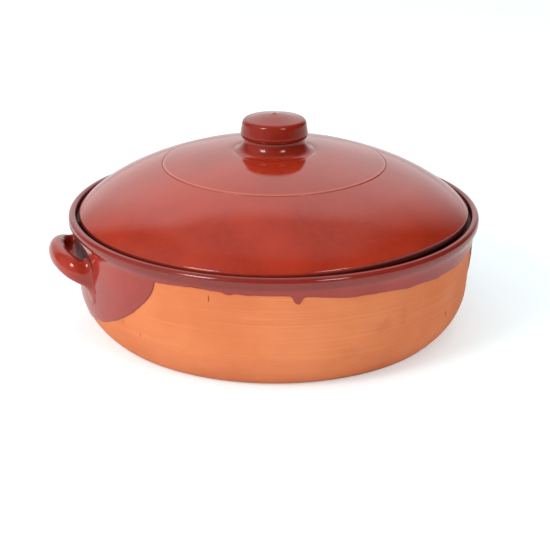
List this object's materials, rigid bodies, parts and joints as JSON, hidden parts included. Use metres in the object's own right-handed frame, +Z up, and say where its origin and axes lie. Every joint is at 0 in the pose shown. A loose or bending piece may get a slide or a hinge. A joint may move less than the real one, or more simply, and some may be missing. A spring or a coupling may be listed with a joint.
{
  "type": "lidded baking dish",
  "caption": "Round clay baking dish with a rolled rim and small ear handles, and a domed lid with a turned knob that sits on a ledge inside the rim.",
  "frame": {"origin": "centre of the dish's flat underside", "axes": "+Z up out of the dish, +X towards the right ear and -X towards the left ear, +Y towards the back, to which side both ears are set by 10 degrees"},
  "size_m": [0.3288, 0.301, 0.1554],
  "materials": {
    "terracotta": "matt, unglazed fired clay",
    "brown_glaze": "glossy"
  },
  "bodies": {
    "dish": {"dish_body": "terracotta", "dish_glaze": "brown_glaze", "left_ear": "brown_glaze", "right_ear": "brown_glaze"},
    "lid": {"lid_shell": "terracotta", "lid_glaze": "brown_glaze", "lid_inside_glaze": "brown_glaze", "lid_knob": "brown_glaze"}
  },
  "joints": [
    {"name": "lid_lift", "type": "slide", "parent": "dish", "child": "lid", "axis": [0, 0, 1], "range_m": [0, 0.15]}
  ]
}
